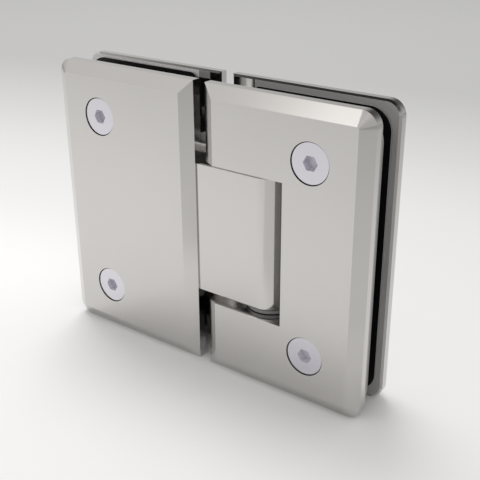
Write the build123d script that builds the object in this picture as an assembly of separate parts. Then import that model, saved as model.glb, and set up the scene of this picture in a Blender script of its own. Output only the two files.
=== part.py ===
from build123d import *
import os

# Glass-to-glass hinge, in millimetres.
# X runs from the fixed panel (minus) to the door (plus), with zero in the middle of the joint.
# Y runs from the front face (minus) to the back, with zero in the middle of the glass.
# Z is up from the plates' bottom edges.

# Clamp plates
hinge_height = 90.0
plate_width = 54.0
joint_gap = 4.2
plate_wall = 2.8
bevel_depth = 2.2
bevel_width = 3.9
face_corner_radius = 0.6
edge_break = 0.6

# Glass and gaskets
glass_thickness = 8.0
gasket_thickness = 0.9
fixed_gasket_inset = 1.25
door_gasket_inset = 2.1
gasket_end_inset = 8.1
gasket_corner_radius = 6.5
gasket_end_radius = 2.5
gasket_clearance = 1.5

# Pivot block and the notch that it turns in
pivot_setback = 17.6
hub_radius = 7.2
hub_edge_break = 0.3
notch_height = 44.0
notch_clearance = 2.9
washer_thickness = 1.0
washer_step = 0.15
thrust_clearance = 0.05
end_float = 0.25
shoulder_clearance = 0.05
tongue_height = 58.0
inlay_clearance = 0.1

# Pivot pin and its bushes
pin_diameter = 8.0
pin_flat_depth = 0.6
pin_flat_margin = 3.0
pin_grip = 11.0
pin_chamfer = 0.6
bush_wall = 1.0
bush_margin = 0.7
running_clearance = 0.05
seat_clearance = 0.02

# Detent plungers, springs and adjusters inside the block
detent_diameter = 6.0
detent_spacing = 16.0
plunger_length = 12.0
plunger_chamfer = 0.8
spring_length = 18.0
spring_wire = 0.9
spring_turns = 8
spring_clearance = 0.3
adjuster_length = 8.0
adjuster_recess = 3.8
adjuster_socket = 3.0
adjuster_socket_depth = 3.5

# Pin carriers between the door plates
carrier_height = 13.0
carrier_heel = 7.5
carrier_reach = 13.6
set_screw_diameter = 4.0
set_screw_length = 6.0
set_screw_socket = 2.0
set_screw_socket_depth = 2.5
set_screw_height = 4.2

# Clamp screws through the glass
clamp_screw_diameter = 6.0
clamp_head_diameter = 11.4
clamp_socket = 4.0
clamp_socket_depth = 2.4
clamp_screw_setback = 36.2
clamp_screw_spacing = 58.0

# Screws that hold the block and the carriers to the back plates
block_screw_diameter = 5.0
block_head_diameter = 9.2
block_socket = 3.0
block_socket_depth = 1.9
block_screw_setback = 14.0
block_screw_spacing = 40.0
carrier_screw_diameter = 4.0
carrier_head_diameter = 7.5
carrier_socket = 2.5
carrier_socket_depth = 1.6
carrier_screw_reach = 9.5
carrier_screw_height = 9.6

# Fits shared by all the screws
head_rim = 0.3
head_recess = 0.35
head_clearance = 0.3
shank_clearance = 0.2
thread_clearance = 0.03
tip_clearance = 0.4
blind_skin = 1.0

# Worked-out places
FIXED, DOOR = -1, 1
FRONT, BACK = -1, 1
mid_z = hinge_height / 2
joint_edge = joint_gap / 2
slot_half = glass_thickness / 2 + gasket_thickness
plate_thickness = plate_wall + bevel_depth
half_depth = slot_half + plate_thickness
wall_edge = slot_half + plate_wall
pivot_x = joint_edge + pivot_setback
notch_end = pivot_x + hub_radius + notch_clearance
hub_height = notch_height - 2 * (washer_thickness + thrust_clearance + end_float)
pin_radius = pin_diameter / 2
bush_radius = pin_radius + running_clearance + bush_wall
bush_length = (hub_height - detent_spacing - detent_diameter) / 2 - bush_margin
flat_distance = pin_radius - pin_flat_depth
plunger_nose = pivot_x - pin_radius - running_clearance
plunger_tail = plunger_nose - plunger_length
spring_end = plunger_tail - spring_length
adjuster_end = spring_end - adjuster_length
tongue_end = adjuster_end - adjuster_recess
clamp_screw_x = joint_edge + clamp_screw_setback
carrier_end = pivot_x + carrier_reach
blind_depth = plate_thickness - blind_skin
detent_levels = [mid_z - detent_spacing / 2, mid_z + detent_spacing / 2]
clamp_levels = [mid_z - clamp_screw_spacing / 2, mid_z + clamp_screw_spacing / 2]
block_screw_levels = [mid_z - block_screw_spacing / 2, mid_z + block_screw_spacing / 2]


def span_box(x_range, y_range, z_range):
    """A box between two values on each axis."""
    lows = [min(x_range), min(y_range), min(z_range)]
    sizes = [abs(r[1] - r[0]) for r in (x_range, y_range, z_range)]
    return Pos(*lows) * Box(*sizes, align=(Align.MIN, Align.MIN, Align.MIN))


def rod(radius, length):
    """A round bar that stands on the XY plane."""
    return Cylinder(radius, length, align=(Align.CENTER, Align.CENTER, Align.MIN))


def along_y(shape, x, y, z):
    """Lays an upright shape along +Y, with its foot at the given point."""
    return Pos(x, y, z) * Rot(-90, 0, 0) * shape


def along_x(shape, x, y, z):
    """Lays an upright shape along +X, with its foot at the given point."""
    return Pos(x, y, z) * Rot(0, 90, 0) * shape


def hex_socket(size, depth):
    """The hexagonal recess of a screw, from the XY plane upwards."""
    return extrude(RegularPolygon(size / 2, 6, major_radius=False), depth)


def front_plane(x, y, z):
    """A plane that faces the back, with its x along the hinge."""
    return Plane(origin=(x, y, z), x_dir=(1, 0, 0), z_dir=(0, 1, 0))


# Screws
def countersunk_screw(diameter, head_diameter, socket, socket_depth, length):
    """A countersunk screw with its head's face on the XY plane and its tip upwards."""
    radius = diameter / 2
    head_radius = head_diameter / 2
    cone_height = head_radius - radius
    cone = Cone(head_radius, radius, cone_height, align=(Align.CENTER, Align.CENTER, Align.MIN))
    shank = rod(radius, length)
    tip = shank.edges().sort_by(Axis.Z)[-1]
    screw = chamfer(tip, radius / 6) + rod(head_radius, head_rim) + Pos(0, 0, head_rim) * cone
    return screw - hex_socket(socket, socket_depth)


def countersunk_hole(diameter, head_diameter, depth):
    """The seat and clearance hole of a countersunk screw, from the XY plane upwards."""
    radius = diameter / 2 + shank_clearance
    head_radius = head_diameter / 2 + head_clearance
    straight = head_recess + head_rim
    cone_height = head_radius - radius
    cone = Cone(head_radius, radius, cone_height, align=(Align.CENTER, Align.CENTER, Align.MIN))
    return rod(head_radius, straight) + Pos(0, 0, straight) * cone + rod(radius, depth)


def tapped_hole(diameter, x, z):
    """A blind threaded hole in a back plate's inner face."""
    return along_y(rod(diameter / 2 + thread_clearance, blind_depth), x, slot_half, z)


def grub_screw(diameter, length, socket, socket_depth):
    """A headless screw with its socket on the XY plane and its point upwards."""
    body = rod(diameter / 2, length)
    rims = body.edges().filter_by(GeomType.CIRCLE)
    return chamfer(rims, diameter / 12) - hex_socket(socket, socket_depth)


def clamp_screws(side):
    """The pair of clamp screws that draws one side's plates together on the glass."""
    head_y = -half_depth + head_recess
    tip_y = slot_half + blind_depth - tip_clearance
    screw = countersunk_screw(
        clamp_screw_diameter, clamp_head_diameter, clamp_socket, clamp_socket_depth, tip_y - head_y
    )
    pair = [along_y(screw, side * clamp_screw_x, head_y, level) for level in clamp_levels]
    return pair[0] + pair[1]


# Clamp plates
def plate_outline(side, inset):
    """A plate's outline with its two outer corners rounded, drawn in by the inset all round."""
    outline = Rectangle(plate_width - 2 * inset, hinge_height - 2 * inset)
    far_corners = outline.vertices().group_by(Axis.X)[-1 if side == DOOR else 0]
    return fillet(far_corners, face_corner_radius + bevel_width - inset)


def plate_blank(side, face):
    """A plate with a bevel that follows its rounded corners, before its holes and notch."""
    middle_x = side * (joint_edge + plate_width / 2)
    slot_plane = front_plane(middle_x, face * slot_half, mid_z)
    bevel_plane = front_plane(middle_x, face * wall_edge, mid_z)
    face_plane = front_plane(middle_x, face * half_depth, mid_z)
    outline = plate_outline(side, 0)
    wall = extrude(slot_plane * outline, amount=plate_wall, dir=(0, face, 0))
    bevel = loft([bevel_plane * outline, face_plane * plate_outline(side, bevel_width)], ruled=True)
    return wall + bevel


def notch():
    """The window at the door's inner edge that the pivot block turns in."""
    low, high = mid_z - notch_height / 2, mid_z + notch_height / 2
    return span_box([0, notch_end], [-2 * half_depth, 2 * half_depth], [low, high])


def front_plate(side):
    """A front plate with its two countersunk holes."""
    plate = plate_blank(side, FRONT)
    hole = countersunk_hole(clamp_screw_diameter, clamp_head_diameter, plate_thickness)
    for level in clamp_levels:
        plate -= along_y(hole, side * clamp_screw_x, -half_depth, level)
    return plate


def back_plate(side):
    """A back plate with its inner edges broken and blind threaded holes for the clamp screws."""
    plate = plate_blank(side, BACK)
    inner_face = plate.faces().sort_by(Axis.Y)[0]
    plate = chamfer(inner_face.edges(), edge_break)
    for level in clamp_levels:
        plate -= tapped_hole(clamp_screw_diameter, side * clamp_screw_x, level)
    return plate


def fixed_back_plate():
    """The fixed panel's back plate, threaded for the block's screws too."""
    plate = back_plate(FIXED)
    for level in block_screw_levels:
        plate -= tapped_hole(block_screw_diameter, -joint_edge - block_screw_setback, level)
    return plate


def door_back_plate():
    """The door's notched back plate, threaded for the carriers' screws too."""
    plate = back_plate(DOOR) - notch()
    screw_x = pivot_x + carrier_screw_reach
    for end in (-1, 1):
        plate -= tapped_hole(carrier_screw_diameter, screw_x, carrier_screw_level(end))
    return plate


# Gaskets
def gasket(side, face, inset, pocket_end, pocket_height):
    """A flat rubber pad on a plate's inner face, cut away around what lies between the plates.

    A front pad reaches its plate's outer end, and a back pad stops short of it.
    """
    near_x = side * (joint_edge + gasket_end_inset)
    far_x = side * (joint_edge + plate_width - (inset if face == BACK else 0))
    sheet = Rectangle(abs(far_x - near_x), hinge_height - 2 * inset)
    groups = sheet.vertices().group_by(Axis.X)
    far_corners = groups[-1 if side == DOOR else 0]
    sheet = fillet(far_corners, gasket_corner_radius)
    near_corners = sheet.vertices().group_by(Axis.X)[0 if side == DOOR else -1]
    sheet = fillet(near_corners, gasket_end_radius)
    inner_y = face * (slot_half - gasket_thickness)
    plane = front_plane((near_x + far_x) / 2, inner_y, mid_z)
    pad = extrude(plane * sheet, amount=gasket_thickness, dir=(0, face, 0))
    pocket_z = [mid_z - pocket_height / 2, mid_z + pocket_height / 2]
    pad -= span_box([0, pocket_end], [-half_depth, half_depth], pocket_z)
    hole = rod(clamp_screw_diameter / 2 + gasket_clearance / 2, 2 * half_depth)
    for level in clamp_levels:
        pad -= along_y(hole, side * clamp_screw_x, -half_depth, level)
    return pad


def fixed_gasket(face):
    """A gasket of the fixed panel, cut away around the block's tongue."""
    return gasket(
        FIXED, face, fixed_gasket_inset, tongue_end - gasket_clearance, tongue_height + 2 * gasket_clearance
    )


def door_gasket(face):
    """A gasket of the door, cut away around the notch and the pin carriers."""
    pocket_height = notch_height + 2 * (carrier_height + gasket_clearance)
    return gasket(DOOR, face, door_gasket_inset, carrier_end + gasket_clearance, pocket_height)


# Pivot block and its bearings
def pivot_block():
    """The knuckle and its tongue in one piece, bored for the pin, the plungers and its own screws."""
    shoulder_x = -joint_edge + shoulder_clearance
    low, high = mid_z - hub_height / 2, mid_z + hub_height / 2
    hub = span_box([shoulder_x, pivot_x], [-hub_radius, hub_radius], [low, high])
    hub += Pos(pivot_x, 0, low) * rod(hub_radius, hub_height)
    hub_faces = hub.faces().sort_by(Axis.Z)
    end_rims = [end_face.edges().sort_by(Axis.X)[1:] for end_face in (hub_faces[0], hub_faces[-1])]
    hub = chamfer(end_rims[0] + end_rims[1], hub_edge_break)
    tongue_z = [mid_z - tongue_height / 2, mid_z + tongue_height / 2]
    tongue_y = [-slot_half + inlay_clearance, slot_half]
    tongue = span_box([tongue_end, shoulder_x], tongue_y, tongue_z)
    block = hub + tongue
    block -= Pos(pivot_x, 0, low) * rod(bush_radius + seat_clearance, hub_height)
    for level in detent_levels:
        block -= along_x(rod(detent_diameter / 2, pivot_x - tongue_end), tongue_end, 0, level)
    hole = countersunk_hole(block_screw_diameter, block_head_diameter, 2 * slot_half)
    for level in block_screw_levels:
        block -= along_y(hole, -joint_edge - block_screw_setback, tongue_y[0], level)
    return block


def block_screws():
    """The pair of screws that holds the block's tongue to the fixed back plate."""
    head_y = -slot_half + inlay_clearance + head_recess
    tip_y = slot_half + blind_depth - tip_clearance
    screw = countersunk_screw(
        block_screw_diameter, block_head_diameter, block_socket, block_socket_depth, tip_y - head_y
    )
    pair = [along_y(screw, -joint_edge - block_screw_setback, head_y, z) for z in block_screw_levels]
    return pair[0] + pair[1]


def bush(end):
    """A sleeve that lines one end of the block's pin bore."""
    sleeve = rod(bush_radius, bush_length) - rod(pin_radius + running_clearance, bush_length)
    face_z = mid_z + end * hub_height / 2
    return Pos(pivot_x, 0, min(face_z, face_z - end * bush_length)) * sleeve


def thrust_washer(end):
    """A flat ring between one end of the block and the notch."""
    ring = rod(hub_radius - washer_step, washer_thickness)
    ring -= rod(pin_radius + running_clearance, washer_thickness)
    near_z = mid_z + end * (hub_height / 2 + thrust_clearance)
    return Pos(pivot_x, 0, min(near_z, near_z + end * washer_thickness)) * ring


def pivot_pin():
    """The pin, with four flats at its middle that the plungers press on."""
    length = notch_height + 2 * pin_grip
    pin = rod(pin_radius, length)
    pin = chamfer(pin.edges().filter_by(GeomType.CIRCLE), pin_chamfer)
    flats_length = detent_spacing + detent_diameter + 2 * pin_flat_margin
    flats = Box(pin_diameter, pin_diameter, flats_length)
    flats -= Box(2 * flat_distance, 2 * flat_distance, flats_length)
    return Pos(pivot_x, 0, mid_z - length / 2) * (pin - Pos(0, 0, length / 2) * flats)


# Detent parts
def plunger(level):
    """A flat-nosed plunger, drawn pushed back to where the pin's round part turns past it."""
    body = rod(detent_diameter / 2 - running_clearance, plunger_length)
    body = chamfer(body.edges().sort_by(Axis.Z)[-1], plunger_chamfer)
    return along_x(body, plunger_tail, 0, level)


def detent_spring(level):
    """A coil spring between a plunger and its adjuster."""
    coil_radius = detent_diameter / 2 - spring_clearance - spring_wire / 2
    rise = spring_length - spring_wire
    coil = Helix(rise / spring_turns, rise, coil_radius)
    section = Plane(origin=coil @ 0, z_dir=coil % 0) * Circle(spring_wire / 2)
    wire = sweep(section, coil, is_frenet=True)
    return along_x(wire, spring_end + spring_wire / 2, 0, level)


def detent_adjusters():
    """The pair of headless screws that backs the springs."""
    screw = grub_screw(
        detent_diameter - 2 * thread_clearance, adjuster_length, adjuster_socket, adjuster_socket_depth
    )
    pair = [along_x(screw, adjuster_end, 0, level) for level in detent_levels]
    return pair[0] + pair[1]


# Pin carriers
def carrier_face(end):
    """The height of a carrier's face beside the notch."""
    return mid_z + end * notch_height / 2


def carrier_screw_level(end):
    """The height of a carrier's own screw."""
    return carrier_face(end) + end * carrier_screw_height


def pin_carrier(end):
    """A block between the door plates that holds one end of the pin."""
    face_z = carrier_face(end)
    carrier_y = [-slot_half + inlay_clearance, slot_half]
    carrier_z = [face_z, face_z + end * carrier_height]
    carrier = span_box([pivot_x - carrier_heel, carrier_end], carrier_y, carrier_z)
    carrier -= Pos(pivot_x, 0, min(carrier_z)) * rod(pin_radius + seat_clearance, carrier_height)
    set_hole = rod(set_screw_diameter / 2 + thread_clearance, carrier_reach)
    carrier -= along_x(set_hole, pivot_x, 0, face_z + end * set_screw_height)
    hole = countersunk_hole(carrier_screw_diameter, carrier_head_diameter, 2 * slot_half)
    carrier -= along_y(hole, pivot_x + carrier_screw_reach, carrier_y[0], carrier_screw_level(end))
    return carrier


def pin_set_screws():
    """The pair of headless screws that locks the pin in its carriers."""
    screw = grub_screw(set_screw_diameter, set_screw_length, set_screw_socket, set_screw_socket_depth)
    inward = Rot(0, 180, 0) * screw
    tip_x = pivot_x + pin_radius + seat_clearance
    levels = [carrier_face(end) + end * set_screw_height for end in (-1, 1)]
    pair = [along_x(inward, tip_x + set_screw_length, 0, level) for level in levels]
    return pair[0] + pair[1]


def carrier_screws():
    """The pair of screws that holds the carriers to the door's back plate."""
    head_y = -slot_half + inlay_clearance + head_recess
    tip_y = slot_half + blind_depth - tip_clearance
    screw = countersunk_screw(
        carrier_screw_diameter, carrier_head_diameter, carrier_socket, carrier_socket_depth, tip_y - head_y
    )
    screw_x = pivot_x + carrier_screw_reach
    pair = [along_y(screw, screw_x, head_y, carrier_screw_level(end)) for end in (-1, 1)]
    return pair[0] + pair[1]


# All the nodes
nodes = {
    "fixed_front_plate": front_plate(FIXED),
    "fixed_back_plate": fixed_back_plate(),
    "fixed_front_gasket": fixed_gasket(FRONT),
    "fixed_back_gasket": fixed_gasket(BACK),
    "fixed_clamp_screws": clamp_screws(FIXED),
    "pivot_block": pivot_block(),
    "block_screws": block_screws(),
    "upper_bush": bush(1),
    "lower_bush": bush(-1),
    "upper_thrust_washer": thrust_washer(1),
    "lower_thrust_washer": thrust_washer(-1),
    "lower_plunger": plunger(detent_levels[0]),
    "upper_plunger": plunger(detent_levels[1]),
    "lower_detent_spring": detent_spring(detent_levels[0]),
    "upper_detent_spring": detent_spring(detent_levels[1]),
    "detent_adjusters": detent_adjusters(),
    "pivot_pin": pivot_pin(),
    "upper_pin_carrier": pin_carrier(1),
    "lower_pin_carrier": pin_carrier(-1),
    "pin_set_screws": pin_set_screws(),
    "carrier_screws": carrier_screws(),
    "door_front_plate": front_plate(DOOR) - notch(),
    "door_back_plate": door_back_plate(),
    "door_front_gasket": door_gasket(FRONT),
    "door_back_gasket": door_gasket(BACK),
    "door_clamp_screws": clamp_screws(DOOR),
}

os.makedirs("parts", exist_ok=True)
for name, shape in nodes.items():
    export_step(shape, f"parts/{name}.step")
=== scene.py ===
"""Looks of the glass-to-glass hinge: its finishes, a pale floor, soft studio light and the camera."""

from dataclasses import dataclass, field, replace
from enum import Enum
from functools import partial, reduce
import logging

import bpy
import numpy as np
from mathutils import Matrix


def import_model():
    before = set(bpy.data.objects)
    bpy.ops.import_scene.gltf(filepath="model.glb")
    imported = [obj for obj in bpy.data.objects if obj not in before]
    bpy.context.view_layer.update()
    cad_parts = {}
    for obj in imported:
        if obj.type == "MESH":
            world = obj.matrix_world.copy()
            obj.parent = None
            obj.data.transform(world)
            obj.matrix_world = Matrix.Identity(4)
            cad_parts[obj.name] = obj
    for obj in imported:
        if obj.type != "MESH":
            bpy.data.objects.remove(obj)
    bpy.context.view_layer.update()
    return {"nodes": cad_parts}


LOG = logging.getLogger("glass_hinge")

Colour = tuple[float, float, float]
Vector3 = tuple[float, float, float]
Range = tuple[float, float]
Ends = tuple[Vector3, Vector3]
Tones = tuple[tuple[float, float], ...]
Stops = list[tuple[float, Colour]]
Node = bpy.types.Node
Socket = bpy.types.NodeSocket


# Node trees
class Graph:
    """A short way to write a node tree: nodes by type, values straight on their sockets, links by name."""

    def __init__(self, tree: bpy.types.NodeTree) -> None:
        """Empties a tree and keeps it.

        Args:
            tree: the node tree of a material or a world.
        """
        self.tree = tree
        self.tree.nodes.clear()

    def node(self, kind: str, **settings: object) -> Node:
        """Adds a node.

        Args:
            kind: the node's type without its ShaderNode prefix.
            settings: the node's own properties.

        Returns:
            The new node.
        """
        made = self.tree.nodes.new(f"ShaderNode{kind}")
        for name, value in settings.items():
            setattr(made, name, value)
        return made

    def value(self, node: Node, **sockets: object) -> None:
        """Sets input sockets by name, with underscores for spaces.

        Args:
            node: the node to set.
            sockets: a value for each named input.
        """
        for name, value in sockets.items():
            node.inputs[name.replace("_", " ")].default_value = value

    def link(self, start: Socket, end: Socket) -> None:
        """Joins an output to an input."""
        self.tree.links.new(start, end)

    def ramp(self, source: Socket, stops: Stops) -> Socket:
        """Turns a number into a colour through a smooth ramp.

        Args:
            source: the output that gives the number.
            stops: places along the ramp with their colours.

        Returns:
            The ramp's colour output.
        """
        ramp = self.node("ValToRGB")
        ramp.color_ramp.interpolation = "B_SPLINE"
        elements = ramp.color_ramp.elements
        while len(elements) < len(stops):
            elements.new(0.5)
        for element, (place, colour) in zip(elements, stops):
            element.position = place
            element.color = (*colour, 1.0)
        self.link(source, ramp.inputs["Fac"])
        return ramp.outputs["Color"]

    def span(self, source: Socket, start: Range, end: Range) -> Socket:
        """Maps one range of numbers onto another, and holds its ends beyond it.

        Args:
            source: the output that gives the number.
            start: the range it comes in.
            end: the range it goes to.

        Returns:
            The mapped number.
        """
        mapped = self.node("MapRange")
        self.value(mapped, From_Min=start[0], From_Max=start[1], To_Min=end[0], To_Max=end[1])
        self.link(source, mapped.inputs["Value"])
        return mapped.outputs["Result"]

    def math(self, operation: str, first: Socket, second: Socket) -> Socket:
        """Works out one number from two.

        Args:
            operation: the sum's name in Blender.
            first: the output that gives the first number.
            second: the output that gives the second number.

        Returns:
            The result.
        """
        made = self.node("Math", operation=operation)
        self.link(first, made.inputs[0])
        self.link(second, made.inputs[1])
        return made.outputs["Value"]

    def along(self, source: Socket, way: Vector3) -> Socket:
        """How far a vector reaches in a direction: their dot product.

        Args:
            source: the output that gives the vector.
            way: the direction.

        Returns:
            The product.
        """
        product = self.node("VectorMath", operation="DOT_PRODUCT")
        product.inputs[1].default_value = way
        self.link(source, product.inputs[0])
        return product.outputs["Value"]

    def mix(self, share: Socket, first: Socket, second: Socket) -> Socket:
        """Blends two colours.

        Args:
            share: the output that gives the second colour's share.
            first: the output that gives the first colour.
            second: the output that gives the second colour.

        Returns:
            The blended colour.
        """
        blend = self.node("Mix", data_type="RGBA")
        self.link(share, blend.inputs["Factor"])
        self.link(first, blend.inputs["A"])
        self.link(second, blend.inputs["B"])
        return blend.outputs["Result"]


def node_material(name: str, kind: str) -> tuple[bpy.types.Material, Graph, Node]:
    """Makes a material with one shader.

    Args:
        name: the material's name.
        kind: the shader's type without its ShaderNode prefix.

    Returns:
        The material, its graph and its shader.
    """
    made = bpy.data.materials.new(name)
    made.use_nodes = True
    graph = Graph(made.node_tree)
    shader = graph.node(kind)
    output = graph.node("OutputMaterial")
    graph.link(shader.outputs["BSDF"], output.inputs["Surface"])
    return made, graph, shader


def tinted(tones: Tones, tint: Colour) -> Stops:
    """Stops of a ramp, from places with grey tones and a tint for all of them."""
    return [(place, tuple(tone * part for part in tint)) for place, tone in tones]


# Finishes, with a noise for their grain: it is dark below its reach and light above
GRAIN_REACH: Range = (0.3, 0.7)
GRAIN_DETAIL = 4.0
GRAIN_ROUGHNESS = 0.6


def grained(
    graph: Graph, grain: Socket, tones: tuple[Colour, Colour], gloss: Range
) -> tuple[Socket, Socket]:
    """Spreads a colour and a roughness along the grain.

    Args:
        graph: the material's graph.
        grain: the output that gives the grain.
        tones: the colours where the grain is dark and where it is light.
        gloss: the lowest and highest roughness.

    Returns:
        The colour and the roughness.
    """
    return graph.ramp(grain, list(zip(GRAIN_REACH, tones))), graph.span(grain, GRAIN_REACH, gloss)


@dataclass(frozen=True)
class Finish:
    """A surface with fine grain: its colour and gloss vary a little along a noise.

    Attributes:
        name: the material's name.
        light: its colour where the grain is light.
        dark: its colour where the grain is dark.
        metal: how metallic it is, 0 or 1.
        gloss: its lowest and highest roughness.
        grain: how many grains there are in a metre along X, Y and Z.
        depth: how deep the grain is, in metres.
        shine: how strongly a surface that is no metal mirrors, 0.5 for most.
    """

    name: str
    light: Colour
    dark: Colour
    metal: float
    gloss: Range
    grain: Vector3
    depth: float
    shine: float = 0.5

    def material(self) -> bpy.types.Material:
        """Builds the finish as a node material on Object coordinates.

        Returns:
            The material.
        """
        made, graph, shader = node_material(self.name, "BsdfPrincipled")
        graph.value(shader, Metallic=self.metal, Specular_IOR_Level=self.shine)
        place = graph.node("TexCoord").outputs["Object"]
        stretch = graph.node("Mapping")
        graph.value(stretch, Scale=self.grain)
        graph.link(place, stretch.inputs["Vector"])
        noise = graph.node("TexNoise")
        graph.value(noise, Scale=1.0, Detail=GRAIN_DETAIL, Roughness=GRAIN_ROUGHNESS)
        graph.link(stretch.outputs["Vector"], noise.inputs["Vector"])
        grain = noise.outputs["Fac"]
        colour, rough = grained(graph, grain, (self.dark, self.light), self.gloss)
        graph.link(colour, shader.inputs["Base Color"])
        graph.link(rough, shader.inputs["Roughness"])
        bump = graph.node("Bump")
        graph.value(bump, Strength=1.0, Distance=self.depth)
        graph.link(grain, bump.inputs["Height"])
        graph.link(bump.outputs["Normal"], shader.inputs["Normal"])
        self.work(graph, shader, place, grain)
        return made

    def work(self, graph: Graph, shader: Node, place: Socket, grain: Socket) -> None:
        """Leaves the finish as it is; a finish that differs in places changes it here."""


@dataclass(frozen=True)
class Zone:
    """An upright box on Object coordinates.

    Attributes:
        x: where it begins and ends along X, in metres.
        y: the same along Y.
        z: the same along Z.
    """

    x: Range
    y: Range
    z: Range

    def mask(self, graph: Graph, place: Socket) -> Socket:
        """A number that is 1 in the box and 0 outside: the product of one test along each axis.

        Args:
            graph: the material's graph.
            place: the output that gives the Object coordinates.

        Returns:
            The number.
        """
        split = graph.node("SeparateXYZ")
        graph.link(place, split.inputs["Vector"])
        tests = []
        for axis, (low, high) in zip("XYZ", (self.x, self.y, self.z)):
            test = graph.node("Math", operation="COMPARE")
            test.inputs[1].default_value = (low + high) / 2
            test.inputs[2].default_value = (high - low) / 2
            graph.link(split.outputs[axis], test.inputs[0])
            tests.append(test.outputs["Value"])
        return reduce(partial(graph.math, "MULTIPLY"), tests)


@dataclass(frozen=True)
class Patch:
    """Faces with a finish of their own, or with painted light or shade: those that lie in some boxes.

    Attributes:
        zones: the boxes.
        light: the colour in them where the grain is light.
        dark: the same where it is dark.
        metal: how metallic the faces are.
        gloss: their lowest and highest roughness.
    """

    zones: tuple[Zone, ...]
    light: Colour
    dark: Colour
    metal: float = 0.0
    gloss: Range = (0.50, 0.62)

    def lay(self, graph: Graph, shader: Node, place: Socket, grain: Socket) -> None:
        """Lays these faces' finish, or their painted light or shade, over what the shader has so far.

        Args:
            graph: the material's graph.
            shader: its surface shader.
            place: the output that gives the Object coordinates.
            grain: the output that gives the grain.
        """
        masks = [zone.mask(graph, place) for zone in self.zones]
        inside = reduce(partial(graph.math, "MAXIMUM"), masks)
        own_colour, own_rough = grained(graph, grain, (self.dark, self.light), self.gloss)
        for name, own in (("Base Color", own_colour), ("Roughness", own_rough)):
            before = shader.inputs[name].links[0].from_socket
            graph.link(graph.mix(inside, before, own), shader.inputs[name])
        # A number that is the same all over stays on the shader's own socket
        metal = shader.inputs["Metallic"]
        if self.metal != metal.default_value:
            blend = graph.node("MapRange")
            graph.value(blend, To_Min=metal.default_value, To_Max=self.metal)
            if metal.is_linked:
                graph.link(metal.links[0].from_socket, blend.inputs["To Min"])
            graph.link(inside, blend.inputs["Value"])
            graph.link(blend.outputs["Result"], metal)


@dataclass(frozen=True)
class PatchedFinish(Finish):
    """A finish with other ones, or with painted light or shade, on some faces.

    Attributes:
        patches: the faces that differ.
    """

    patches: tuple[Patch, ...] = ()

    def work(self, graph: Graph, shader: Node, place: Socket, grain: Socket) -> None:
        """Lays each patch over the finish.

        Args:
            graph: the material's graph.
            shader: its surface shader.
            place: the output that gives the Object coordinates.
            grain: the output that gives the grain.
        """
        for patch in self.patches:
            patch.lay(graph, shader, place, grain)


# Places on the CAD nodes, in metres: X from the joint, Y from the middle of the glass, Z from the bottom
HINGE_HEIGHT = 0.0900
PLATE_END = 0.0561
PLATE_FACE = 0.0099
SLOT_FACE = 0.0049
EDGE_BREAK = 0.0006
PAD_FACE = 0.0040
PAD_START = 0.0102
NOTCH_FLOOR = 0.0298
NOTCH_BOTTOM = 0.0230
NOTCH_TOP = 0.0670

# How far the finishes and the painted light and shade reach on them, in metres
SHADE_PATCH_START = 0.0060  # X at which the painted shade on the fixed slot's ends begins
SHADE_PATCH_HEIGHT = 0.0026  # how high each patch of painted shade is
RIM_START = 0.0040  # how far from its ends the painted reflection on the door slot's rim begins
FLOOR_EDGE = 0.0001  # how far the painted shade on the notch floor goes round its edges
SATIN_END = 0.0185  # X at which the satin on the notch's ends stops
SHADED_EDGE_WIDTH = 0.0400  # X up to which the pads' cut edges are painted black as shade
SHADED_EDGE_START = 0.0025  # how far from top and bottom that painted shade on the edges begins
SOCKET_DEPTH: Range = (-0.0094, -0.0050)  # Y from just under the screw heads' faces to below their sockets

# How far a zone reaches past a face that it takes in, and past the end of a piece, in metres
HAIR = 0.00003
SPARE = 0.0010


def around(middle: float, reach: float) -> Range:
    """A range that reaches equally far to both sides of its middle."""
    return middle - reach, middle + reach


ALL_WIDTH = around(0.0, PLATE_END + SPARE)
ALL_DEPTH = around(0.0, PLATE_FACE + SPARE)
ALL_HEIGHT: Range = (-SPARE, HINGE_HEIGHT + SPARE)
SLOT_DEPTH = around(0.0, SLOT_FACE + HAIR)
RIM_DEPTH = around(0.0, SLOT_FACE + EDGE_BREAK + HAIR)

# Faces that get a finish of their own, or painted light or shade
FIXED_SLOT_LIT_FACES = (Zone((-PLATE_END - SPARE, -PAD_START), SLOT_DEPTH, ALL_HEIGHT),)
FIXED_SLOT_SHADED_ENDS = (
    Zone((-PAD_START, -SHADE_PATCH_START), SLOT_DEPTH, (HINGE_HEIGHT - SHADE_PATCH_HEIGHT, HINGE_HEIGHT + SPARE)),
    Zone((-PAD_START, -SHADE_PATCH_START), SLOT_DEPTH, (-SPARE, SHADE_PATCH_HEIGHT)),
)
DOOR_SLOT_SHADED_FACES = (
    Zone((PAD_START, PLATE_END + SPARE), SLOT_DEPTH, ALL_HEIGHT),
    Zone(around(PLATE_END, EDGE_BREAK + HAIR), RIM_DEPTH, (RIM_START, HINGE_HEIGHT - RIM_START)),
    Zone(around(NOTCH_FLOOR, FLOOR_EDGE), ALL_DEPTH, (NOTCH_BOTTOM + HAIR, NOTCH_TOP - HAIR)),
)
NOTCH_ENDS = (
    Zone((0.0, SATIN_END), ALL_DEPTH, around(NOTCH_BOTTOM, HAIR)),
    Zone((0.0, SATIN_END), ALL_DEPTH, around(NOTCH_TOP, HAIR)),
)
PAD_SHADED_FACES = (
    Zone(ALL_WIDTH, around(0.0, PAD_FACE + HAIR), ALL_HEIGHT),
    Zone(around(0.0, SHADED_EDGE_WIDTH), ALL_DEPTH, (SHADED_EDGE_START, HINGE_HEIGHT - SHADED_EDGE_START)),
)
SCREW_SOCKETS = (Zone(ALL_WIDTH, SOCKET_DEPTH, ALL_HEIGHT),)

# Painted light: the fixed plates' slot margins painted pale, the lit copy of the door plates' grey margins
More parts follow.
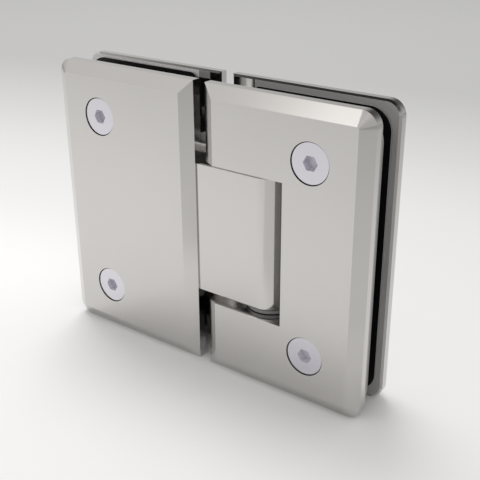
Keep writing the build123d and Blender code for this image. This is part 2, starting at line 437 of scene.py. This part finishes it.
MILLED_PAINTED_LIGHT = Patch(FIXED_SLOT_LIT_FACES, light=(0.80, 0.79, 0.78), dark=(0.72, 0.71, 0.70))
# Painted shade: darker ends of the fixed slot margins beside the joint
MILLED_ENDS_SHADE_PAINT = Patch(FIXED_SLOT_SHADED_ENDS, light=(0.32, 0.315, 0.31), dark=(0.28, 0.275, 0.27))
# Painted shade: the door plates' slot margins and notch floor painted grey, the shaded copy of the fixed
# plates' pale margins; on the rim the grey is a painted reflection
MILLED_PAINTED_SHADE = Patch(DOOR_SLOT_SHADED_FACES, light=(0.43, 0.42, 0.41), dark=(0.37, 0.36, 0.35))
MILLED_SATIN = Patch(
    NOTCH_ENDS, light=(0.52, 0.505, 0.495), dark=(0.48, 0.465, 0.455), metal=1.0, gloss=(0.20, 0.26)
)
SOCKET_ZINC = Patch(
    SCREW_SOCKETS, light=(0.81, 0.79, 0.85), dark=(0.73, 0.71, 0.77), metal=0.3, gloss=(0.40, 0.50)
)
# Painted shade: the pads' faces and inner cut edges painted black, the shaded copy of the grey rubber on
# their lit outer edges
PAD_PAINTED_SHADE = Patch(PAD_SHADED_FACES, light=(0.008, 0.008, 0.008), dark=(0.004, 0.004, 0.004), gloss=(0.40, 0.50))


class Coat(Enum):
    """The finishes that the hinge's pieces come in, some with painted light or shade on some faces."""

    # Polished nickel, with painted light on the slot margins and painted shade at their ends beside the
    # joint
    FIXED_NICKEL = PatchedFinish(
        name="fixed_nickel",
        light=(0.622, 0.606, 0.594),
        dark=(0.606, 0.590, 0.578),
        metal=1.0,
        gloss=(0.10, 0.14),
        grain=(60.0, 60.0, 60.0),
        depth=2e-7,
        patches=(MILLED_PAINTED_LIGHT, MILLED_ENDS_SHADE_PAINT),
    )
    # The same nickel, with painted grey shade on the slot margins and notch floor, a painted reflection on
    # the rim, and satin notch ends
    DOOR_NICKEL = replace(FIXED_NICKEL, name="door_nickel", patches=(MILLED_PAINTED_SHADE, MILLED_SATIN))
    BLOCK_NICKEL = Finish(
        name="block_nickel",
        light=(0.630, 0.612, 0.600),
        dark=(0.614, 0.596, 0.584),
        metal=1.0,
        gloss=(0.09, 0.13),
        grain=(60.0, 60.0, 60.0),
        depth=2e-7,
    )
    SCREW_ZINC = PatchedFinish(
        name="screw_zinc",
        light=(0.700, 0.684, 0.738),
        dark=(0.680, 0.664, 0.716),
        metal=1.0,
        gloss=(0.14, 0.20),
        grain=(400.0, 400.0, 400.0),
        depth=4e-7,
        patches=(SOCKET_ZINC,),
    )
    # Grey rubber where the pads' outer edges catch the light, painted black as shade on their faces and
    # inner cut edges
    PAD_RUBBER = PatchedFinish(
        name="pad_rubber",
        light=(0.26, 0.255, 0.25),
        dark=(0.22, 0.215, 0.21),
        metal=0.0,
        gloss=(0.50, 0.62),
        grain=(2500.0, 2500.0, 2500.0),
        depth=2e-6,
        shine=0.2,
        patches=(PAD_PAINTED_SHADE,),
    )
    WASHER_NYLON = Finish(
        name="washer_nylon",
        light=(0.32, 0.315, 0.31),
        dark=(0.28, 0.275, 0.27),
        metal=0.0,
        gloss=(0.35, 0.45),
        grain=(900.0, 900.0, 900.0),
        depth=2e-6,
    )
    BUSH_BRONZE = Finish(
        name="bush_bronze",
        light=(0.62, 0.42, 0.22),
        dark=(0.50, 0.33, 0.17),
        metal=1.0,
        gloss=(0.30, 0.42),
        grain=(1200.0, 1200.0, 1200.0),
        depth=4e-6,
    )
    GROUND_STEEL = Finish(
        name="ground_steel",
        light=(0.58, 0.58, 0.59),
        dark=(0.52, 0.52, 0.53),
        metal=1.0,
        gloss=(0.16, 0.24),
        grain=(900.0, 900.0, 4000.0),
        depth=1e-6,
    )
    SPRING_WIRE = Finish(
        name="spring_wire",
        light=(0.42, 0.42, 0.43),
        dark=(0.34, 0.34, 0.35),
        metal=1.0,
        gloss=(0.24, 0.34),
        grain=(1500.0, 1500.0, 1500.0),
        depth=1e-6,
    )


# Sub-assemblies
@dataclass
class SubAssembly:
    """A group of CAD nodes that is dressed together.

    Attributes:
        title: what the log calls it.
        coats: the finish of each node.
    """

    title: str
    coats: dict[str, Coat] = field(default_factory=dict)

    def dress(self, nodes: dict[str, bpy.types.Object], paints: dict[Coat, bpy.types.Material]) -> None:
        """Gives each node its finish.

        Args:
            nodes: the frame's objects by node name.
            paints: the built material of each finish.
        """
        for name, coat in self.coats.items():
            mesh = nodes[name].data
            mesh.materials.clear()
            mesh.materials.append(paints[coat])
            LOG.info("%s: %s in %s", self.title, name, coat.value.name)


@dataclass
class FixedClamp(SubAssembly):
    """The plates, pads and screws on the fixed panel."""

    title: str = "fixed clamp"
    coats: dict[str, Coat] = field(
        default_factory=lambda: {
            "fixed_front_plate": Coat.FIXED_NICKEL,
            "fixed_back_plate": Coat.FIXED_NICKEL,
            "fixed_front_gasket": Coat.PAD_RUBBER,
            "fixed_back_gasket": Coat.PAD_RUBBER,
            "fixed_clamp_screws": Coat.SCREW_ZINC,
        }
    )


@dataclass
class DoorClamp(SubAssembly):
    """The plates, pads and screws on the door, and the pin with the carriers that hold it."""

    title: str = "door clamp"
    coats: dict[str, Coat] = field(
        default_factory=lambda: {
            "door_front_plate": Coat.DOOR_NICKEL,
            "door_back_plate": Coat.DOOR_NICKEL,
            "door_front_gasket": Coat.PAD_RUBBER,
            "door_back_gasket": Coat.PAD_RUBBER,
            "door_clamp_screws": Coat.SCREW_ZINC,
            "upper_pin_carrier": Coat.GROUND_STEEL,
            "lower_pin_carrier": Coat.GROUND_STEEL,
            "pin_set_screws": Coat.SCREW_ZINC,
            "carrier_screws": Coat.SCREW_ZINC,
            "pivot_pin": Coat.GROUND_STEEL,
        }
    )


@dataclass
class PivotBlock(SubAssembly):
    """The knuckle with its bearings and the detent inside it."""

    title: str = "pivot block"
    coats: dict[str, Coat] = field(
        default_factory=lambda: {
            "pivot_block": Coat.BLOCK_NICKEL,
            "block_screws": Coat.SCREW_ZINC,
            "upper_bush": Coat.BUSH_BRONZE,
            "lower_bush": Coat.BUSH_BRONZE,
            "upper_thrust_washer": Coat.WASHER_NYLON,
            "lower_thrust_washer": Coat.WASHER_NYLON,
            "lower_plunger": Coat.GROUND_STEEL,
            "upper_plunger": Coat.GROUND_STEEL,
            "lower_detent_spring": Coat.SPRING_WIRE,
            "upper_detent_spring": Coat.SPRING_WIRE,
            "detent_adjusters": Coat.SCREW_ZINC,
        }
    )


# Stage
@dataclass(frozen=True)
class SoftEdge:
    """A straight soft edge on the floor.

    Attributes:
        across: the direction across it, of length 1.
        reach: where it begins and ends in that direction, in metres from the origin.
    """

    across: Vector3
    reach: Range


@dataclass
class PaleFloor:
    """The floor that the hinge stands on: a wide disc with a pool of light painted beside the hinge and a
    shadow painted near the camera.

    Attributes:
        radius: how far it reaches, in metres.
        rings: how many rings of faces it has.
        sectors: how many faces go round it.
        pool: the middle of a pool of light painted on it.
        falls: how fast it darkens from there, per metre: to the back and the front, then to the left and
            the right.
        painted_shadow_near: the far edge of a shadow painted near the camera.
        painted_shadow_right: the left edge of that painted shadow.
        painted_shadow_depth: how much darker that painted shadow is, on the scale of the falls.
        tones: its grey tones, from the painted pool of light outwards.
        tint: what its red, green and blue are multiplied by.
    """

    radius: float = 6.0
    rings: int = 24
    sectors: int = 96
    # A pool of light painted on the floor, and how fast it falls away
    pool: Vector3 = (-0.0395, -0.0071, 0.0)
    falls: tuple[Ends, Ends] = (
        ((-0.751, 2.566, 0.0), (0.417, -1.425, 0.0)),
        ((-0.378, -0.111, 0.0), (1.746, 0.511, 0.0)),
    )
    # A shadow painted on the floor near the camera
    painted_shadow_near: SoftEdge = SoftEdge(across=(0.599, -0.801, 0.0), reach=(0.062, 0.095))
    painted_shadow_right: SoftEdge = SoftEdge(across=(0.990, 0.139, 0.0), reach=(-0.010, 0.016))
    painted_shadow_depth: float = 0.42
    tones: Tones = (
        (0.0, 0.97), (0.08, 0.965), (0.14, 0.93), (0.20, 0.875), (0.27, 0.83),
        (0.35, 0.80), (0.45, 0.755), (0.60, 0.66), (0.80, 0.57), (1.0, 0.50),
    )
    tint: Colour = (1.0, 0.993, 0.980)

    def surface(self) -> np.ndarray:
        """A disc as a grid of radius and angle: the radius grows with the square of its share.

        Returns:
            Points by ring and sector.
        """
        share = np.linspace(0.0, 1.0, self.rings + 1)[:, None] ** 2
        angle = np.linspace(0.0, 2.0 * np.pi, self.sectors, endpoint=False)[None, :]
        r = self.radius * share
        return np.stack([r * np.cos(angle), r * np.sin(angle), np.zeros_like(r * angle)], axis=-1)

    def build(self) -> bpy.types.Object:
        """Makes the floor and marks it as stage.

        Returns:
            The floor object.
        """
        grid = self.surface()
        rows, columns = grid.shape[:2]
        index = np.arange(rows * columns).reshape(rows, columns)
        turn = np.roll(index, -1, axis=1)
        quads = np.stack([index[1:-1], index[2:], turn[2:], turn[1:-1]], axis=-1).reshape(-1, 4)
        fan = np.stack([np.zeros_like(index[0]), index[1], turn[1]], axis=-1)
        mesh = bpy.data.meshes.new("pale_floor")
        mesh.from_pydata(grid.reshape(-1, 3).tolist(), [], fan.tolist() + quads.tolist())
        mesh.materials.append(self.paint())
        floor = bpy.data.objects.new("pale_floor", mesh)
        bpy.context.scene.collection.objects.link(floor)
        return floor

    def paint(self) -> bpy.types.Material:
        """A matt white with painted light: greyer away from the painted pool of light, and darker in the
        shadow painted near the camera.

        Returns:
            The floor's material.
        """
        made, graph, shader = node_material("floor_painted_light", "BsdfDiffuse")
        place = graph.node("TexCoord").outputs["Object"]
        from_pool = graph.node("VectorMath", operation="SUBTRACT")
        from_pool.inputs[1].default_value = self.pool
        graph.link(place, from_pool.inputs[0])
        parts = graph.node("CombineXYZ")
        for pair, axis in zip(self.falls, "XY"):
            graph.link(self.fall(graph, from_pool.outputs["Vector"], pair), parts.inputs[axis])
        graph.link(self.painted_shadow_share(graph, place), parts.inputs["Z"])
        away = graph.node("VectorMath", operation="LENGTH")
        graph.link(parts.outputs["Vector"], away.inputs[0])
        graph.link(graph.ramp(away.outputs["Value"], tinted(self.tones, self.tint)), shader.inputs["Color"])
        return made

    def painted_shadow_share(self, graph: Graph, place: Socket) -> Socket:
        """How deep the shadow painted near the camera is: the product of a soft step across each of its two
        edges.

        Args:
            graph: the floor's graph.
            place: the output that gives the Object coordinates.

        Returns:
            How deep the painted shadow is, 0 away from it.
        """
        nearer = graph.along(place, self.painted_shadow_near.across)
        farther_right = graph.along(place, self.painted_shadow_right.across)
        return graph.math(
            "MULTIPLY",
            graph.span(nearer, self.painted_shadow_near.reach, (0.0, 1.0)),
            graph.span(farther_right, self.painted_shadow_right.reach, (0.0, self.painted_shadow_depth)),
        )

    def fall(self, graph: Graph, way: Socket, pair: Ends) -> Socket:
        """How far a point lies towards either of two opposite ends, each with its own scale.

        Args:
            graph: the floor's graph.
            way: the output that gives the way from the pool of light painted on the floor.
            pair: the scaled directions of the two ends.

        Returns:
            The larger of the two products.
        """
        first, second = pair
        return graph.math("MAXIMUM", graph.along(way, first), graph.along(way, second))


@dataclass(frozen=True)
class Softbox:
    """A square-cornered lamp that looks at the hinge.

    Attributes:
        name: the lamp's name.
        place: where it hangs, in metres.
        size: its width and height, in metres.
        power: its power, in watts.
        target: the point that it looks at, in metres.
    """

    name: str
    place: Vector3
    size: tuple[float, float]
    power: float
    target: Vector3 = (0.0, 0.0, HINGE_HEIGHT / 2)

    def hang(self) -> None:
        """Makes the lamp and turns it to its target."""
        lamp = bpy.data.lights.new(self.name, "AREA")
        lamp.shape = "RECTANGLE"
        lamp.size, lamp.size_y = self.size
        lamp.energy = self.power
        box = bpy.data.objects.new(self.name, lamp)
        box.location = self.place
        aim = np.array(self.target) - np.array(self.place)
        flat = float(np.hypot(aim[0], aim[1]))
        box.rotation_euler = (float(np.arctan2(flat, -aim[2])), 0.0, float(np.arctan2(-aim[0], aim[1])))
        bpy.context.scene.collection.objects.link(box)


@dataclass
class StudioLight:
    """Even light from all round, one softbox, and the room that polished metal shows.

    Attributes:
        dome: the even light's strength.
        glint: its strength where polished metal throws it on the floor.
        box: the softbox above the hinge, behind it and to its left.
        pale_tones: the grey tones of the room's paler side, by height from 0 at the horizon to 1 overhead.
        pale_tint: what that side's red, green and blue are multiplied by.
        dim_tones: the same tones of its darker side.
        dim_tint: the tint of that side.
        pale_way: the direction of the paler side.
        pale_reach: how far in that direction the darker side ends and the paler one begins.
        window_rise: the angles over which the window begins, in degrees from the front, minus to the left.
        window_fall: the angles over which it ends.
        window_gain: how many times brighter the room is there.
    """

    dome: float = 0.73
    glint: float = 0.25
    box: Softbox = Softbox("top_softbox", place=(-0.45, 0.34, 1.30), size=(0.70, 0.55), power=7.2)
    pale_tones: Tones = (
        (0.0, 0.60), (0.25, 0.72), (0.42, 0.80), (0.56, 0.84), (0.66, 0.60), (0.74, 0.22), (0.80, 0.01),
    )
    pale_tint: Colour = (1.0, 0.99, 0.97)
    dim_tones: Tones = ((0.0, 0.55), (0.2, 0.50), (0.4, 0.16), (0.6, 0.03))
    dim_tint: Colour = (1.0, 0.99, 0.98)
    pale_way: Vector3 = (-0.85, -0.52, 0.0)
    pale_reach: Range = (-0.35, 0.45)
    window_rise: Range = (-43.0, -35.0)
    window_fall: Range = (-32.0, -29.5)
    window_gain: float = 1.97

    def build(self) -> None:
        """Makes the world and hangs the softbox."""
        self.world()
        self.box.hang()

    def world(self) -> None:
        """Lights evenly, and shows the room to the camera and to metal that the camera sees.

        A ray that comes from the floor by way of polished metal gets the weaker glint.
        """
        world = bpy.data.worlds.new("studio")
        world.use_nodes = True
        bpy.context.scene.world = world
        graph = Graph(world.node_tree)
        output = graph.node("OutputWorld")
        even = graph.node("Background")
        graph.value(even, Color=(1.0, 1.0, 1.0, 1.0))
        room = graph.node("Background")
        way = graph.node("TexCoord").outputs["Generated"]
        split = graph.node("SeparateXYZ")
        graph.link(way, split.inputs["Vector"])
        graph.link(self.room(graph, way, split.outputs["Z"]), room.inputs["Color"])
        graph.link(self.window(graph, split), room.inputs["Strength"])
        path = graph.node("LightPath")
        straight = graph.node("Math", operation="LESS_THAN")
        straight.inputs[1].default_value = 1.0
        graph.link(path.outputs["Diffuse Depth"], straight.inputs[0])
        mirrored = graph.math("MAXIMUM", path.outputs["Is Glossy Ray"], path.outputs["Is Transmission Ray"])
        seen = graph.math("MAXIMUM", path.outputs["Is Camera Ray"], mirrored)
        graph.link(graph.span(mirrored, (0.0, 1.0), (self.dome, self.glint)), even.inputs["Strength"])
        either = graph.node("MixShader")
        graph.link(graph.math("MULTIPLY", seen, straight.outputs["Value"]), either.inputs[0])
        graph.link(even.outputs["Background"], either.inputs[1])
        graph.link(room.outputs["Background"], either.inputs[2])
        graph.link(either.outputs["Shader"], output.inputs["Surface"])

    def room(self, graph: Graph, way: Socket, height: Socket) -> Socket:
        """The room's colour by direction: paler to the front left, darker to the back right and overhead.

        Args:
            graph: the world's graph.
            way: the output that gives the direction.
            height: the output that gives its upward part.

        Returns:
            The colour.
        """
        pale = graph.ramp(height, tinted(self.pale_tones, self.pale_tint))
        dim = graph.ramp(height, tinted(self.dim_tones, self.dim_tint))
        share = graph.span(graph.along(way, self.pale_way), self.pale_reach, (0.0, 1.0))
        return graph.mix(share, dim, pale)

    def window(self, graph: Graph, split: Node) -> Socket:
        """The room's brightness: a window in front, between two angles of X against minus Y.

        Args:
            graph: the world's graph.
            split: the node that gives the direction's X, Y and Z.

        Returns:
            The brightness, 1 away from the window.
        """
        ahead = graph.node("Math", operation="MULTIPLY")
        ahead.inputs[1].default_value = -1.0
        graph.link(split.outputs["Y"], ahead.inputs[0])
        aside = graph.math("ARCTAN2", split.outputs["X"], ahead.outputs["Value"])
        rise = graph.span(aside, tuple(np.radians(self.window_rise)), (0.0, 1.0))
        fall = graph.span(aside, tuple(np.radians(self.window_fall)), (1.0, 0.0))
        return graph.span(graph.math("MULTIPLY", rise, fall), (0.0, 1.0), (1.0, self.window_gain))


@dataclass
class PhotoCamera:
    """The camera at the photograph's place, for a square image.

    Attributes:
        place: where it stands, in metres.
        turn: its tilt, roll and pan, in degrees.
        lens: its focal length, in millimetres.
        sensor: the width of its sensor, in millimetres.
        clip: the nearest and farthest that it sees, in metres.
    """

    place: Vector3 = (0.14797, -0.18604, 0.14446)
    turn: Vector3 = (66.055, 0.2765, 36.774)
    lens: float = 63.167
    sensor: float = 36.0
    clip: Range = (0.01, 50.0)

    def build(self) -> bpy.types.Object:
        """Makes the camera and gives it to the scene.

        Returns:
            The camera object.
        """
        data = bpy.data.cameras.new("photo_camera")
        data.lens = self.lens
        data.sensor_fit = "HORIZONTAL"
        data.sensor_width = self.sensor
        data.clip_start, data.clip_end = self.clip
        camera = bpy.data.objects.new("photo_camera", data)
        camera.location = self.place
        camera.rotation_euler = tuple(np.radians(self.turn))
        bpy.context.scene.collection.objects.link(camera)
        bpy.context.scene.camera = camera
        return camera


def main() -> None:
    """Loads the frame, dresses every node, and sets the stage."""
    logging.basicConfig(level=logging.INFO, format="%(name)s %(message)s")
    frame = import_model()
    bpy.context.scene.view_settings.view_transform = "Standard"
    paints = {coat: coat.value.material() for coat in Coat}
    for part in (FixedClamp(), DoorClamp(), PivotBlock()):
        part.dress(frame["nodes"], paints)
    PaleFloor().build()
    StudioLight().build()
    PhotoCamera().build()


if __name__ == "__main__":
    main()
